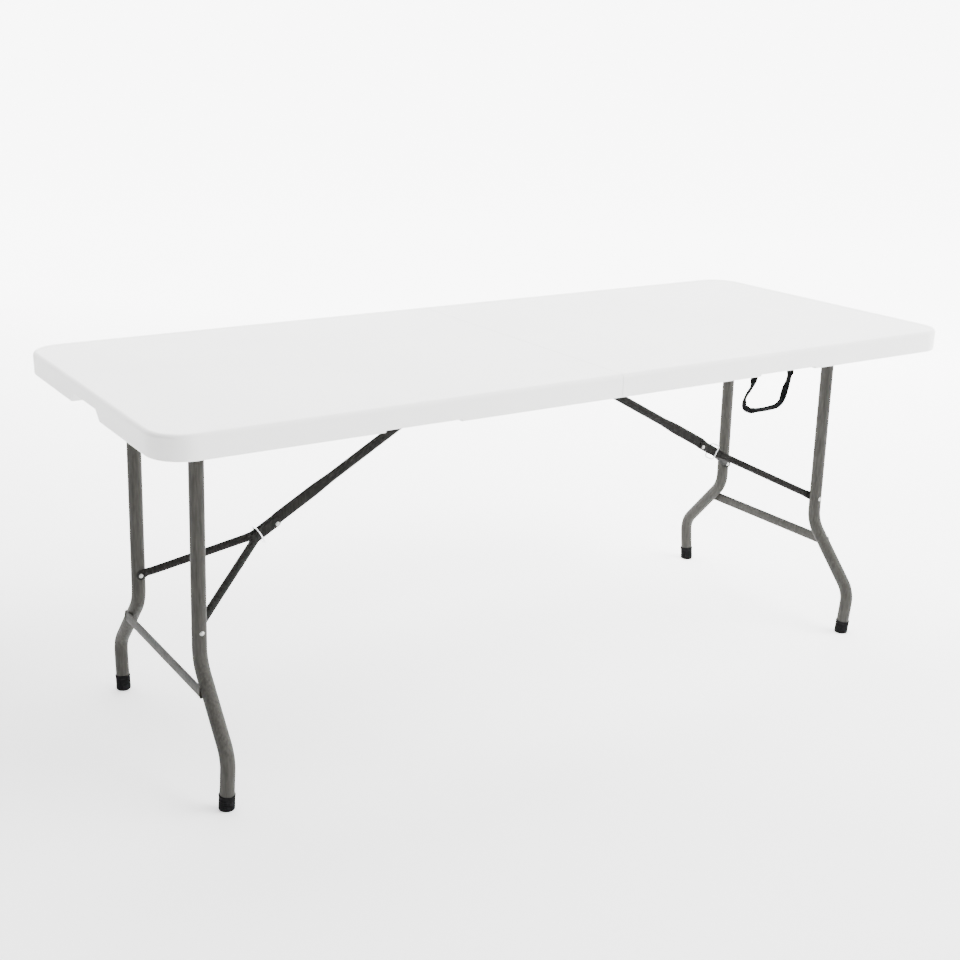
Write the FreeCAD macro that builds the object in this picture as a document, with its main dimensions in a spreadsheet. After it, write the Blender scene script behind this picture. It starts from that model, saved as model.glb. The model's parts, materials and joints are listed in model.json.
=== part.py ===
import FreeCAD, Part
import math
import os
import re

# Fold-in-half table: two hollow blow-moulded plastic halves hinged at the centre, each with a
# bent-tube leg frame that folds inward and a jointed brace with a sliding lock ring.
# Millimetres, +X along the length, +Y to the back, +Z up, origin on the floor under the centre.
# The right half (+X) is modelled; what stands at both ends is mirrored from it.

V = FreeCAD.Vector

SIZES = {
    # Table top
    "table_length": 1830,
    "table_width": 740,
    "table_height": 740,
    "rim_height": 45,
    "rim_width": 22,
    "panel_thick": 12,
    "skin": 2.5,
    "corner_radius": 66,
    "top_edge_round": 8,
    "low_edge_round": 3,
    "recess_corner": 44,
    "seam_gap": 1,
    "seam_wall": 14,
    "seam_lift": 10,
    "seam_clear": 16,
    "grip_width": 164,
    "grip_top_width": 124,
    "grip_height": 20,
    "strap_notch_at": 434,
    "strap_notch_length": 154,
    "strap_notch_depth": 4.5,
    "vent_radius": 3,
    # Side rails and their screws
    "rail_width": 14,
    "rail_height": 30,
    "rail_wall": 1.6,
    "rail_gap": 3,
    "rail_start": 18,
    "rail_end_inset": 69,
    "screw_radius": 2,
    "screw_head_radius": 4.5,
    "screw_head_height": 2.2,
    "screw_first": 110,
    "screw_pitch": 200,
    "screw_count": 4,
    # Centre hinges
    "hinge_plate": 3,
    "hinge_side_gap": 0.4,
    "hinge_plate_length": 74,
    "hinge_strip_low": 5,
    "hinge_strip_high": 26,
    "hinge_neck_high": 8,
    "hinge_eye_radius": 7,
    "hinge_pin_radius": 3.5,
    "pin_head_rim": 2,
    "pin_head_thick": 2.1,
    "pin_head_gap": 0.4,
    # Leg frames
    "leg_pivot_inset": 143,
    "leg_pivot_drop": 20,
    "leg_lean": 1.5,
    "leg_radius": 14,
    "leg_wall": 1.2,
    "leg_spread_top": 161,
    "leg_spread_knee": 288,
    "leg_spread_foot": 279,
    "leg_bend_down": 462,
    "leg_knee_down": 602,
    "leg_bend_radius": 72,
    "leg_knee_radius": 60,
    "pivot_tube_radius": 14.6,
    "pivot_plug": 6,
    "journal_radius": 7,
    "journal_wall": 2,
    "journal_reach": 4,
    "running_gap": 0.05,
    "hole_fit": 0.1,
    "side_play": 3,
    "crossbar_height": 24,
    "crossbar_thick": 6,
    "crossbar_wall": 1.2,
    "crossbar_down": 507,
    "crossbar_offset": 14,
    "crossbar_half": 200,
    "foot_wall": 1.2,
    "foot_lip": 1.2,
    "foot_height": 28,
    "foot_sole": 4,
    # Braces
    "brace_top_x": 50,
    "brace_top_drop": 17,
    "brace_rod_radius": 6,
    "brace_rod_reach": 4,
    "collar_gap": 0.5,
    "collar_length": 8,
    "collar_wall": 2.5,
    "brace_slope": 29.8,
    "brace_leg_down": 403,
    "upper_arm_radius": 9.5,
    "upper_arm_wall": 1.4,
    "upper_eye_half": 22,
    "eye_plug": 12,
    "blade_height": 24,
    "blade_thick": 10,
    "blade_start": 95,
    "blade_taper": 55,
    "blade_tip": 46,
    "slant_start": 6,
    "slant_drop": 9,
    "pivot_drop": 6.5,
    "pivot_radius": 2.5,
    "cheek_thick": 3,
    "cheek_gap": 0.4,
    "cheek_low": 6,
    "cheek_high": 14.4,
    "cheek_length": 70,
    "arm_radius": 8,
    "arm_wall": 1.2,
    "arm_start": 60,
    "arm_start_spread": 14,
    "tab_radius": 9,
    "tab_strip_half": 8,
    "tab_length": 26,
    "tab_tube_gap": 12,
    "tab_sink": 0.5,
    "tab_gap": 0.5,
    "rivet_radius": 3,
    "rivet_head_radius": 4.6,
    "rivet_head_height": 2.2,
    "rivet_crown": 0.35,
    "joint_rivet_play": 0.3,
    "stop_rivet_at": 57,
    "stop_rivet_up": 11.2,
    "stop_rivet_radius": 2.4,
    # Lock ring
    "ring_at": 41,
    "ring_wire": 1.5,
    "ring_half_width": 13,
    "ring_top_gap": 0.6,
    "ring_inner_height": 33,
    "ring_corner": 6,
    # Carrying strap
    "strap_radius": 5,
    "strap_inset": 46,
    "anchor_width": 28,
    "anchor_height": 12,
    "anchor_depth": 12,
    "anchor_up": 6.2,
    # How far a cutting block runs past what it cuts
    "cut_margin": 1,
}

# How near an edge lies to a plane to count as on it, and an ellipse's share that is a hair off round
TOUCH = 0.1
NEARLY = 0.999

doc = FreeCAD.newDocument("folding_table")
sheet = doc.addObject("Spreadsheet::Sheet", "Dimensions")
for row, (alias, value) in enumerate(SIZES.items(), start=1):
    sheet.set(f"A{row}", alias)
    sheet.set(f"B{row}", str(value))
    sheet.setAlias(f"B{row}", alias)
doc.recompute()


def size(alias):
    return float(sheet.get(alias))


def bind(obj, prop, expression):
    """Drive one property by an expression in the sheet's aliases."""
    def with_sheet(match):
        word = match.group(0)
        return f"Dimensions.{word}" if word in SIZES else word
    obj.setExpression(prop, re.sub(r"[A-Za-z_]\w*", with_sheet, expression))


# ---------------------------------------------------------------- small builders

def box(name, x, y, z):
    """A block; x, y and z are (low, high) pairs of expressions."""
    block = doc.addObject("Part::Box", name)
    for (low, high), side, base in zip((x, y, z), ("Length", "Width", "Height"), "xyz"):
        bind(block, side, f"({high}) - ({low})")
        bind(block, f"Placement.Base.{base}", low)
    return block


def rod(name, radius, x, z, y):
    """A cylinder along Y at (x, z), from y[0] to y[1]; all are expressions."""
    cylinder = doc.addObject("Part::Cylinder", name)
    cylinder.Placement.Rotation = FreeCAD.Rotation(V(1, 0, 0), -90)
    bind(cylinder, "Radius", radius)
    bind(cylinder, "Height", f"({y[1]}) - ({y[0]})")
    for axis, place in zip("xyz", (x, y[0], z)):
        bind(cylinder, f"Placement.Base.{axis}", place)
    return cylinder


def upright(name, radius, x, y, z):
    """A cylinder along Z at (x, y), from z[0] to z[1]; all are expressions."""
    cylinder = doc.addObject("Part::Cylinder", name)
    bind(cylinder, "Radius", radius)
    bind(cylinder, "Height", f"({z[1]}) - ({z[0]})")
    for axis, place in zip("xyz", (x, y, z[0])):
        bind(cylinder, f"Placement.Base.{axis}", place)
    return cylinder


def solid(name, shape):
    feature = doc.addObject("Part::Feature", name)
    feature.Shape = shape
    return feature


def fuse(name, *parts):
    if len(parts) == 1:
        return parts[0]
    joined = doc.addObject("Part::MultiFuse", name)
    joined.Shapes = list(parts)
    return joined


def cut(name, base, *tools):
    result = doc.addObject("Part::Cut", name)
    result.Base = base
    result.Tool = fuse(f"{name}_tools", *tools)
    return result


def group(name, *parts):
    """Several separate solids that share one node."""
    compound = doc.addObject("Part::Compound", name)
    compound.Links = list(parts)
    return compound


def mirrored(name, source, normal=V(1, 0, 0)):
    image = doc.addObject("Part::Mirroring", name)
    image.Source = source
    image.Base = V(0, 0, 0)
    image.Normal = normal
    return image


def rounded(name, base, radius, wanted):
    """Fillet the edges of base for which wanted(edge) is true."""
    doc.recompute()
    fillet = doc.addObject("Part::Fillet", name)
    fillet.Base = base
    fillet.Edges = [(number, radius, radius)
                    for number, edge in enumerate(base.Shape.Edges, start=1) if wanted(edge)]
    doc.recompute()
    return fillet


def rounded_path(points, radii):
    """Straight runs joined by tangent arcs: one radius for each inner point."""
    edges = []
    start = points[0]
    for before, corner, after, radius in zip(points, points[1:], points[2:], radii):
        back = (before - corner).normalize()
        ahead = (after - corner).normalize()
        half_turn = (math.pi - back.getAngle(ahead)) / 2
        reach = radius * math.tan(half_turn)
        enter = corner + back * reach
        leave = corner + ahead * reach
        inward = (back + ahead).normalize()
        middle = corner + inward * (radius / math.cos(half_turn) - radius)
        edges.append(Part.LineSegment(start, enter).toShape())
        edges.append(Part.Arc(enter, middle, leave).toShape())
        start = leave
    edges.append(Part.LineSegment(start, points[-1]).toShape())
    return Part.Wire(edges)


def swept(path, radius):
    """A round bar along the path."""
    start = path.Edges[0]
    along = start.tangentAt(start.FirstParameter)
    circle = Part.Circle(start.valueAt(start.FirstParameter), along, radius).toShape()
    return path.makePipeShell([Part.Wire(circle)], True, False)


def tube(path, radius, wall):
    return swept(path, radius).cut(swept(path, radius - wall))


# ---------------------------------------------------------------- places worked out once

half_length = size("table_length") / 2
half_width = size("table_width") / 2
panel_under = size("table_height") - size("panel_thick")
rail_inner = half_width - size("rim_width") - size("rail_gap") - size("rail_width")
pivot = V(half_length - size("leg_pivot_inset"), 0, panel_under - size("leg_pivot_drop"))
lean = math.radians(size("leg_lean"))
leg_down = V(math.sin(lean), 0, -math.cos(lean))
leg_outward = V(math.cos(lean), 0, math.sin(lean))
back = V(0, 1, 0)

# Expressions that several pieces share
RIM_LOW = "table_height - rim_height"
PANEL_UNDER = "table_height - panel_thick"
RAIL_INNER = "table_width / 2 - rim_width - rail_gap - rail_width"
RAIL_LOW = f"{PANEL_UNDER} - rail_height"
RAIL_END = "table_length / 2 - rail_end_inset"
BRACE_TOP_Z = f"{PANEL_UNDER} - brace_top_drop"
PIVOT_Z = f"{PANEL_UNDER} - leg_pivot_drop"
PIVOT_X = "table_length / 2 - leg_pivot_inset"


# ---------------------------------------------------------------- table top

def screw_places():
    return [f"screw_first + screw_pitch * {number}" for number in range(int(size("screw_count")))]


def screw_holes(owner):
    """Clearance holes for the rail screws, through the rails and the panel's lower skin."""
    holes = []
    for side in ("front", "rear"):
        middle = f"({RAIL_INNER} + rail_width / 2) * {-1 if side == 'front' else 1}"
        for number, place in enumerate(screw_places()):
            holes.append(upright(f"{owner}_{side}_hole_{number}", "screw_radius + hole_fit", place, middle,
                                 (f"{RAIL_LOW} - cut_margin", f"{PANEL_UNDER} + skin + cut_margin")))
    return holes


def grip_prism(name, grow):
    """The hand grip under the end rim: a trapezoid in Y and Z that runs through the rim along X."""
    prism = doc.addObject("Part::Wedge", name)
    prism.Placement.Rotation = FreeCAD.Rotation(V(1, 1, 1), 120)
    bind(prism, "Xmin", f"-grip_width / 2 - {grow}")
    bind(prism, "Xmax", f"grip_width / 2 + {grow}")
    bind(prism, "X2min", f"-grip_top_width / 2 - {grow}")
    bind(prism, "X2max", f"grip_top_width / 2 + {grow}")
    for low, high in (("Zmin", "Zmax"), ("Z2min", "Z2max")):
        bind(prism, low, "table_length / 2 - rim_width - 2 * skin")
        bind(prism, high, "table_length / 2 + skin")
    prism.Ymin = 0
    bind(prism, "Ymax", f"grip_height + {grow}")
    bind(prism, "Placement.Base.z", RIM_LOW)
    return prism


def strap_notch(name, grow):
    """A shallow step in the front rim's lower edge, which leaves room for the strap."""
    return box(name,
               (f"strap_notch_at - strap_notch_length / 2 - {grow}",
                f"strap_notch_at + strap_notch_length / 2 + {grow}"),
               ("-table_width / 2 - skin", f"-table_width / 2 + rim_width + {grow}"),
               (f"{RIM_LOW} - skin", f"{RIM_LOW} + strap_notch_depth + {grow}"))


def recess_block(name, grow):
    """The hollow under the panel, inside the rim; grow adds a skin all round."""
    block = box(name,
                (f"seam_gap / 2 + seam_wall - {grow}", f"table_length / 2 - rim_width + {grow}"),
                (f"-table_width / 2 + rim_width - {grow}", f"table_width / 2 - rim_width + {grow}"),
                (f"{RIM_LOW} - cut_margin", f"{PANEL_UNDER} + {grow}"))
    end = half_length - size("rim_width") - TOUCH
    return rounded(f"{name}_rounded", block, size("recess_corner"),
                   lambda edge: is_upright(edge) and edge.CenterOfMass.x > end)


def is_upright(edge):
    bounds = edge.BoundBox
    return bounds.ZLength > TOUCH and bounds.XLength < TOUCH and bounds.YLength < TOUCH


def make_top():
    outer = box("top_blank", ("seam_gap / 2", "table_length / 2"),
                ("-table_width / 2", "table_width / 2"), (RIM_LOW, "table_height"))
    top_z = size("table_height")
    low_z = top_z - size("rim_height")
    off_seam = size("seam_gap") / 2 + size("skin") + TOUCH
    corners = rounded("top_corners", outer, size("corner_radius"),
                      lambda edge: is_upright(edge) and edge.CenterOfMass.x > off_seam)
    edged = rounded("top_edge", corners, size("top_edge_round"),
                    lambda edge: edge.BoundBox.ZMin > top_z - TOUCH and edge.BoundBox.XMax > off_seam)
    shaped = rounded("low_edge", edged, size("low_edge_round"),
                     lambda edge: edge.BoundBox.ZMax < low_z + TOUCH and edge.BoundBox.XMax > off_seam)
    cavity_block = box("cavity_block", ("seam_gap / 2 + skin", "table_length / 2 - skin"),
                       ("-table_width / 2 + skin", "table_width / 2 - skin"),
                       (f"{RIM_LOW} + skin", "table_height - skin"))
    cavity_round = rounded("cavity_round", cavity_block, size("corner_radius") - size("skin"),
                           lambda edge: is_upright(edge) and edge.CenterOfMass.x > off_seam)
    seam_step = box("seam_step", ("0", "seam_gap / 2 + seam_wall + cut_margin"),
                    ("-table_width / 2 + rim_width", "table_width / 2 - rim_width"),
                    (f"{RIM_LOW} - cut_margin", f"{RIM_LOW} + seam_lift"))
    seam_step_kept = box("seam_step_kept", ("0", "seam_gap / 2 + seam_wall + skin"),
                         ("-table_width / 2 + rim_width - skin", "table_width / 2 - rim_width + skin"),
                         (f"{RIM_LOW} - cut_margin", f"{RIM_LOW} + seam_lift + skin"))
    cavity = cut("top_cavity", cavity_round, recess_block("recess_kept", "skin"), seam_step_kept,
                 grip_prism("grip_kept", "skin"), strap_notch("strap_notch_kept", "skin"))
    vent = upright("vent", "vent_radius", "table_length / 4", "0",
                   (f"{PANEL_UNDER} - cut_margin", f"{PANEL_UNDER} + skin + cut_margin"))
    return cut("right_top", shaped, recess_block("recess", "0"), seam_step, grip_prism("grip", "0"),
               strap_notch("strap_notch", "0"), cavity, vent, *screw_holes("top"))


# ---------------------------------------------------------------- side rails, screws and hinges

def make_rail(side):
    """A box-section rail inside the long rim; its inner wall holds the leg and brace pivots."""
    sign = -1 if side == "front" else 1
    near, far = RAIL_INNER, f"{RAIL_INNER} + rail_width"

    def across(low, high):
        return (f"-({high})", f"-({low})") if sign < 0 else (low, high)

    outer = box(f"{side}_rail_outer", ("rail_start", RAIL_END), across(near, far),
                (RAIL_LOW, PANEL_UNDER))
    inner = box(f"{side}_rail_inner", ("rail_start - cut_margin", f"{RAIL_END} + cut_margin"),
                across(f"{near} + rail_wall", f"{far} - rail_wall"),
                (f"{RAIL_LOW} + rail_wall", f"{PANEL_UNDER} - rail_wall"))
    through = across(f"{near} - cut_margin", f"{near} + rail_wall + cut_margin")
    leg_hole = rod(f"{side}_leg_hole", "journal_radius + running_gap", PIVOT_X, PIVOT_Z, through)
    rod_hole = rod(f"{side}_rod_hole", "brace_rod_radius + running_gap", "brace_top_x", BRACE_TOP_Z, through)
    holes = [hole for hole in screw_holes(f"{side}_rail") if f"_{side}_hole" in hole.Name]
    return cut(f"right_{side}_rail", outer, inner, leg_hole, rod_hole, *holes)


def make_rail_screws():
    screws = []
    for side, sign in (("front", -1), ("rear", 1)):
        middle = f"({RAIL_INNER} + rail_width / 2) * {sign}"
        for number, place in enumerate(screw_places()):
            head = upright(f"{side}_screw_head_{number}", "screw_head_radius", place, middle,
                           (f"{RAIL_LOW} - screw_head_height", RAIL_LOW))
            shank = upright(f"{side}_screw_shank_{number}", "screw_radius", place, middle,
                            (RAIL_LOW, f"{PANEL_UNDER} + skin"))
            screws.append(fuse(f"{side}_screw_{number}", head, shank))
    return group("right_rail_screws", *screws)


def hinge_plates(name, leaf, direction):
    """Two upright plates, front and rear, fixed to the rails' inner faces, with eyes on the pin.

    leaf counts the plates out from the rail, so the plates of the two halves lie side by side."""
    plates = []
    outer = f"{RAIL_INNER} - hinge_side_gap - {leaf} * (hinge_plate + hinge_side_gap)"
    inner = f"{outer} - hinge_plate"

    def along_table(near, far):
        return (near, far) if direction > 0 else (f"-({far})", f"-({near})")

    for side in ("front", "rear"):
        y = (f"-({outer})", f"-({inner})") if side == "front" else (inner, outer)
        past = (f"{y[0]} - cut_margin", f"{y[1]} + cut_margin")
        strip = box(f"{name}_{side}_strip", along_table("seam_clear", "hinge_plate_length"), y,
                    (f"{RIM_LOW} + hinge_strip_low", f"{RIM_LOW} + hinge_strip_high"))
        neck = box(f"{name}_{side}_neck", along_table("0", "hinge_plate_length"), y,
                   (f"{RIM_LOW} - hinge_eye_radius", f"{RIM_LOW} + hinge_neck_high"))
        neck_end = box(f"{name}_{side}_neck_end",
                       along_table("rail_start", "hinge_plate_length + cut_margin"), past,
                       (f"{RIM_LOW} - hinge_eye_radius - cut_margin", f"{RIM_LOW} + hinge_strip_low"))
        eye = rod(f"{name}_{side}_eye", "hinge_eye_radius", "0", RIM_LOW, y)
        bore = rod(f"{name}_{side}_bore", "hinge_pin_radius + running_gap", "0", RIM_LOW, past)
        rod_hole = rod(f"{name}_{side}_rod_hole", "brace_rod_radius + cheek_gap",
                       f"brace_top_x * {direction}", BRACE_TOP_Z, past)
        plate = fuse(f"{name}_{side}_plate", strip, neck, eye)
        plates.append(cut(f"{name}_{side}", plate, neck_end, bore, rod_hole))
    return group(name, *plates)


def make_hinge_pins():
    """A headed pin through the four plates' eyes at each rail."""
    pins = []
    outer = f"{RAIL_INNER} - hinge_side_gap"
    inner = f"{RAIL_INNER} - 3 * hinge_side_gap - 2 * hinge_plate"
    for side in ("front", "rear"):
        y = (f"-({outer})", f"-({inner})") if side == "front" else (inner, outer)
        low = (f"{y[0]} - pin_head_gap - pin_head_thick", f"{y[0]} - pin_head_gap")
        high = (f"{y[1]} + pin_head_gap", f"{y[1]} + pin_head_gap + pin_head_thick")
        shank = rod(f"hinge_pin_{side}_shank", "hinge_pin_radius", "0", RIM_LOW, (low[0], high[1]))
        heads = [rod(f"hinge_pin_{side}_head_{end}", "hinge_pin_radius + pin_head_rim", "0", RIM_LOW, place)
                 for end, place in (("a", low), ("b", high))]
        pins.append(fuse(f"hinge_pin_{side}", shank, *heads))
    return group("hinge_pins", *pins)


# ---------------------------------------------------------------- leg frame

def on_leg(down, across=0.0, outward=0.0):
    """A point of the leg frame: down from its pivot, across along Y, outward square to it."""
    return pivot + leg_down * down + back * across + leg_outward * outward


def leg_path(sign):
    spread_top = size("leg_spread_top") * sign
    spread_foot = size("leg_spread_foot") * sign
    foot_down = (pivot.z - size("foot_sole")) / math.cos(lean)
    points = [on_leg(0, spread_top),
              on_leg(size("leg_bend_down"), spread_top),
              on_leg(size("leg_knee_down"), size("leg_spread_knee") * sign),
              on_leg(foot_down, spread_foot)]
    return points, rounded_path(points, [size("leg_bend_radius"), size("leg_knee_radius")])


def make_leg(side, sign, pivot_bar):
    """One bent leg tube, coped onto the pivot tube, with a cross hole for the brace rivet."""
    path = leg_path(sign)[1]
    through = size("leg_radius") + size("cut_margin")
    rivet = on_leg(size("brace_leg_down"), size("leg_spread_top") * sign - through)
    hole = Part.makeCylinder(size("rivet_radius") + size("hole_fit"), 2 * through, rivet, back)
    shape = tube(path, size("leg_radius"), size("leg_wall")).cut(pivot_bar).cut(hole)
    return solid(f"right_{side}_leg", shape)


def make_pivot_tube():
    """The tube across the top of the leg frame, with a journal at each end in the rails."""
    end = f"{RAIL_INNER} - side_play"
    place = (PIVOT_X, PIVOT_Z)
    outer = rod("pivot_outer", "pivot_tube_radius", *place, (f"-({end})", end))
    bore = rod("pivot_bore", "pivot_tube_radius - leg_wall", *place,
               (f"-({end}) + pivot_plug", f"{end} - pivot_plug"))
    tip = f"{RAIL_INNER} + rail_wall + journal_reach"
    journals = rod("pivot_journals", "journal_radius", *place, (f"-({tip})", tip))
    core = rod("pivot_core", "journal_radius - journal_wall", *place,
               (f"-({tip}) - cut_margin", f"{tip} + cut_margin"))
    return cut("right_leg_pivot_tube", fuse("pivot_blank", outer, journals), bore, core)


def make_crossbar():
    """The lower bar, a flattened tube on the legs' outer side, coped round them."""
    half = size("crossbar_half")
    centre = on_leg(size("crossbar_down"), -half, size("crossbar_offset"))

    def bar(inset):
        high = centre + leg_down * (size("crossbar_height") / 2 - inset)
        thick = centre + leg_outward * (size("crossbar_thick") / 2 - inset)
        return Part.Face(Part.Wire(Part.Ellipse(high, thick, centre).toShape())).extrude(back * 2 * half)

    shape = bar(0).cut(bar(size("crossbar_wall")))
    for sign in (-1, 1):
        shape = shape.cut(swept(leg_path(sign)[1], size("leg_radius")))
    largest = max(shape.Solids, key=lambda piece: piece.Volume)
    return solid("right_crossbar", largest)


def make_foot(side, sign):
    """A rubber ferrule in line with the leg's end, its sole cut flat at the floor."""
    points = leg_path(sign)[0]
    end = points[-1]
    axis = (points[-2] - end).normalize()
    height = size("foot_height")
    lip_radius = size("foot_lip")
    radius = size("leg_radius") + size("foot_wall")
    blank = Part.makeCylinder(radius, height + radius, end - axis * radius, axis)
    lip = Part.makeTorus(radius - lip_radius / 2, lip_radius, end + axis * (height - lip_radius), axis)
    bore = Part.makeCylinder(size("leg_radius"), height + size("cut_margin"), end, axis)
    floor = Part.makeBox(4 * radius, 4 * radius, radius, V(end.x - 2 * radius, end.y - 2 * radius, -radius))
    return solid(f"right_{side}_foot", blank.fuse(lip).cut(bore).cut(floor).removeSplitter())


def rivet_shape(start, direction, length, radius, head_radius, head_height):
    """A rivet turned about its axis: a shank along direction and a domed head at its end.

    The dome is an arc that runs level into the small flat crown at its middle."""
    side = V(1, 0, 0)
    crown = head_radius * size("rivet_crown")
    slope_out = head_radius - crown
    dome_radius = (slope_out ** 2 + head_height ** 2) / (2 * head_height)
    half_turn = math.atan2(slope_out, dome_radius - head_height) / 2

    def place(ahead, out):
        return start + direction * ahead + side * out

    outline = Part.makePolygon([place(length + head_height, crown), place(length + head_height, 0),
                                place(0, 0), place(0, radius), place(length, radius),
                                place(length, head_radius)]).Edges
    shoulder = place(length + head_height - dome_radius * (1 - math.cos(half_turn)),
                     crown + dome_radius * math.sin(half_turn))
    dome = Part.Arc(place(length, head_radius), shoulder, place(length + head_height, crown)).toShape()
    turned = Part.Face(Part.Wire(outline + [dome])).revolve(start, direction, 360)
    return Part.Solid(turned) if turned.ShapeType != "Solid" else turned


def make_leg_rivets():
    """The legs' half of the brace rivets, with a domed head on each leg's outer side."""
    rivets = []
    length = 2 * size("leg_radius")
    for name, sign in (("front", -1), ("rear", 1)):
        across = size("leg_spread_top") * sign - size("leg_radius") * sign
        start = on_leg(size("brace_leg_down"), across)
        rivets.append(solid(f"leg_rivet_{name}", rivet_shape(
            start, back * sign, length, size("rivet_radius"), size("rivet_head_radius"),
            size("rivet_head_height"))))
    return group("right_leg_rivets", *rivets)


# ---------------------------------------------------------------- brace geometry
# The brace is straight, a little past centre, with the legs down, and folds flat under the panel.
# The upper arm's length follows from both states: with the legs folded, the two pivots of the
# brace and its joint lie in one line, so upper arm minus lower arms equals their distance.

brace_top = V(size("brace_top_x"), 0, panel_under - size("brace_top_drop"))
brace_low = on_leg(size("brace_leg_down"))
folded_low = pivot - V(size("brace_leg_down"), 0, 0)
folded_span = (folded_low - brace_top).Length
slope = math.radians(size("brace_slope"))
toward_joint = V(math.cos(slope), 0, -math.sin(slope))
reach = brace_low - brace_top
upper_length = (reach.dot(reach) - folded_span ** 2) / (2 * (toward_joint.dot(reach) - folded_span))
joint = brace_top + toward_joint * upper_length
drop_angle = math.asin(size("pivot_drop") / upper_length)
along = V(math.cos(slope - drop_angle), 0, -math.sin(slope - drop_angle))
above = V(math.sin(slope - drop_angle), 0, math.cos(slope - drop_angle))
eye_at = -math.sqrt(upper_length ** 2 - size("pivot_drop") ** 2)


def on_brace(ahead, up=0.0, across=0.0):
    """A point of the brace: ahead of its joint towards the legs, up square to it, across in Y."""
    return joint + along * ahead + above * up + back * across


def oval(ahead, half_height, half_thick):
    """A closed oval in the plane across the upper arm, centred on the arm's axis."""
    centre = on_brace(ahead, size("pivot_drop"))
    ellipse = Part.Ellipse(centre + above * half_height, centre + back * half_thick, centre)
    return Part.Wire(ellipse.toShape())


def arm_solid(inset):
    """The upper arm's outline, inset by the wall: round, then flattened to an upright blade.

    The round end is an ellipse too, by a hair, so that every section has the same kind of edge."""
    radius = size("upper_arm_radius") - inset
    half_height = size("blade_height") / 2 - inset
    half_thick = size("blade_thick") / 2 - inset
    nearly_round = radius * NEARLY
    return Part.makeLoft([oval(eye_at, radius, nearly_round),
                          oval(-size("blade_start") - size("blade_taper"), radius, nearly_round),
                          oval(-size("blade_start"), half_height, half_thick),
                          oval(size("blade_tip"), half_height, half_thick)], True, True)


def make_upper_arm():
    eye_radius = size("upper_arm_radius")
    half = size("upper_eye_half")
    margin = size("cut_margin")
    wide = size("blade_thick")
    eye = Part.makeCylinder(eye_radius, 2 * half, brace_top - back * half, back)
    bore = Part.makeCylinder(size("brace_rod_radius") + size("running_gap"), 2 * (half + margin),
                             brace_top - back * (half + margin), back)
    hole = Part.makeCylinder(size("pivot_radius") + size("hole_fit"), 2 * wide, joint - back * wide, back)
    start = -size("slant_start")
    end = size("blade_tip") + margin
    top = size("pivot_drop") + size("blade_height") / 2
    corners = [(start, top), (end, top - size("slant_drop")), (end, top + margin), (start, top + margin),
               (start, top)]
    slant = Part.Face(Part.makePolygon([on_brace(ahead, up, -wide) for ahead, up in corners]))
    plug = Part.makeCylinder(eye_radius - size("upper_arm_wall") / 2, size("eye_plug"),
                             on_brace(eye_at, size("pivot_drop")), along)
    shape = arm_solid(0).cut(arm_solid(size("upper_arm_wall"))).fuse(plug).fuse(eye)
    return solid("right_upper_arm", shape.cut(bore).cut(hole).cut(slant.extrude(back * 2 * wide)))


def make_joint_rivet():
    """The rivet through the blade and both cheeks, headed at both ends."""
    half = size("blade_thick") / 2 + size("cheek_gap") + size("cheek_thick") + size("joint_rivet_play")
    halves = [rivet_shape(joint, back * sign, half, size("pivot_radius"), size("rivet_head_radius"),
                          size("rivet_head_height")) for sign in (-1, 1)]
    return solid("right_joint_rivet", halves[0].fuse(halves[1]).removeSplitter())


def make_brace_arm(side, sign):
    """One lower arm: a round tube with a flattened cheek at the joint and a tab at the leg."""
    near = size("blade_thick") / 2 + size("cheek_gap")
    thick = size("cheek_thick")
    low = size("cheek_low")
    high = size("cheek_high")
    length = size("cheek_length")
    profile = Part.makePolygon([on_brace(0, -low), on_brace(length, -low), on_brace(length, high),
                                on_brace(0, high), on_brace(0, -low)])
    cheek = Part.Face(profile).extrude(back * thick)
    nose_radius = (low + high) / 2
    nose = Part.makeCylinder(nose_radius, thick, on_brace(0, high - nose_radius), back)
    cheek = cheek.fuse(nose)
    cheek.translate(back * (near if sign > 0 else -near - thick))

    tab_outer = size("leg_spread_top") - size("leg_radius") - size("tab_gap")
    tab_middle = (tab_outer - thick / 2) * sign
    low_pivot = V(brace_low.x, tab_middle - thick / 2, brace_low.z)
    inboard = (joint - brace_low).normalize()
    square = V(-inboard.z, 0, inboard.x)
    tab_round = Part.makeCylinder(size("tab_radius"), thick, low_pivot, back)
    tab_half = size("tab_strip_half")
    tab_end = low_pivot + inboard * size("tab_length")
    tab_strip = Part.Face(Part.makePolygon([low_pivot + square * tab_half, tab_end + square * tab_half,
                                            tab_end - square * tab_half, low_pivot - square * tab_half,
                                            low_pivot + square * tab_half])).extrude(back * thick)

    start = on_brace(size("arm_start"), (high - low) / 2, size("arm_start_spread") * sign)
    end = brace_low + inboard * size("tab_tube_gap")
    radius = size("arm_radius")
    end.y = (tab_outer - radius + size("tab_sink")) * sign
    direction = end - start
    margin = size("cut_margin")
    outer = Part.makeCylinder(radius, direction.Length, start, direction)
    inner = Part.makeCylinder(radius - size("arm_wall"), direction.Length + 2 * margin,
                              start - direction.normalize() * margin, direction)
    beyond = Part.makeBox(4 * radius, radius, 4 * radius,
                          V(end.x - 2 * radius, tab_outer if sign > 0 else -tab_outer - radius,
                            end.z - 2 * radius))
    shape = outer.cut(inner).cut(beyond).fuse(cheek).fuse(tab_round).fuse(tab_strip)
    through = size("blade_thick") + 2 * thick
    for place, hole_radius in ((joint, size("pivot_radius") + size("running_gap")),
                               (on_brace(size("stop_rivet_at"), size("stop_rivet_up")),
                                size("stop_rivet_radius") + size("hole_fit")),
                               (low_pivot, size("rivet_radius") + size("hole_fit"))):
        shape = shape.cut(Part.makeCylinder(hole_radius, 2 * through, place - back * through, back))
    return solid(f"right_brace_{side}_arm", shape.removeSplitter())


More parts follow.
